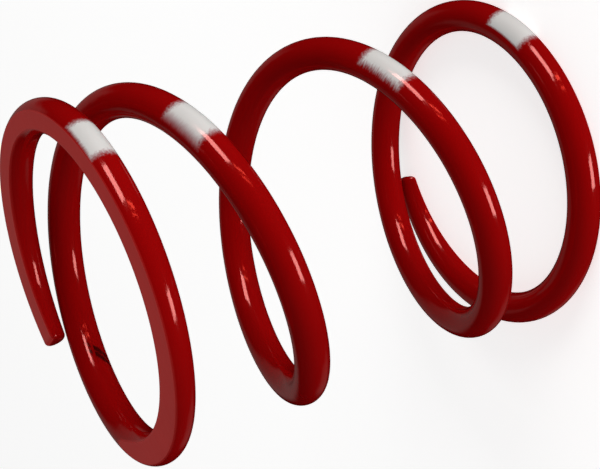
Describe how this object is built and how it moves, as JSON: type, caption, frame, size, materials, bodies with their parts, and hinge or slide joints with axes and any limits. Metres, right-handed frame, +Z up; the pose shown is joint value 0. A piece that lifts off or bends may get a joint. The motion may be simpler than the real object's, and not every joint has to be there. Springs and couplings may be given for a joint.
{
  "type": "clutch spring",
  "caption": "Round-wire helical compression spring with closed, ground ends, for the driven pulley or pressure plate of a clutch.",
  "frame": {"origin": "on the coil axis, in the plane of the bottom ground face that the spring stands on", "axes": "+Z up along the coil axis, +X towards the high side of the slightly tilted top ground face"},
  "size_m": [0.0621, 0.0625, 0.0844],
  "materials": {
    "coated_wire": "gloss powder coat"
  },
  "bodies": {
    "root": {"spring": "coated_wire"}
  },
  "joints": []
}
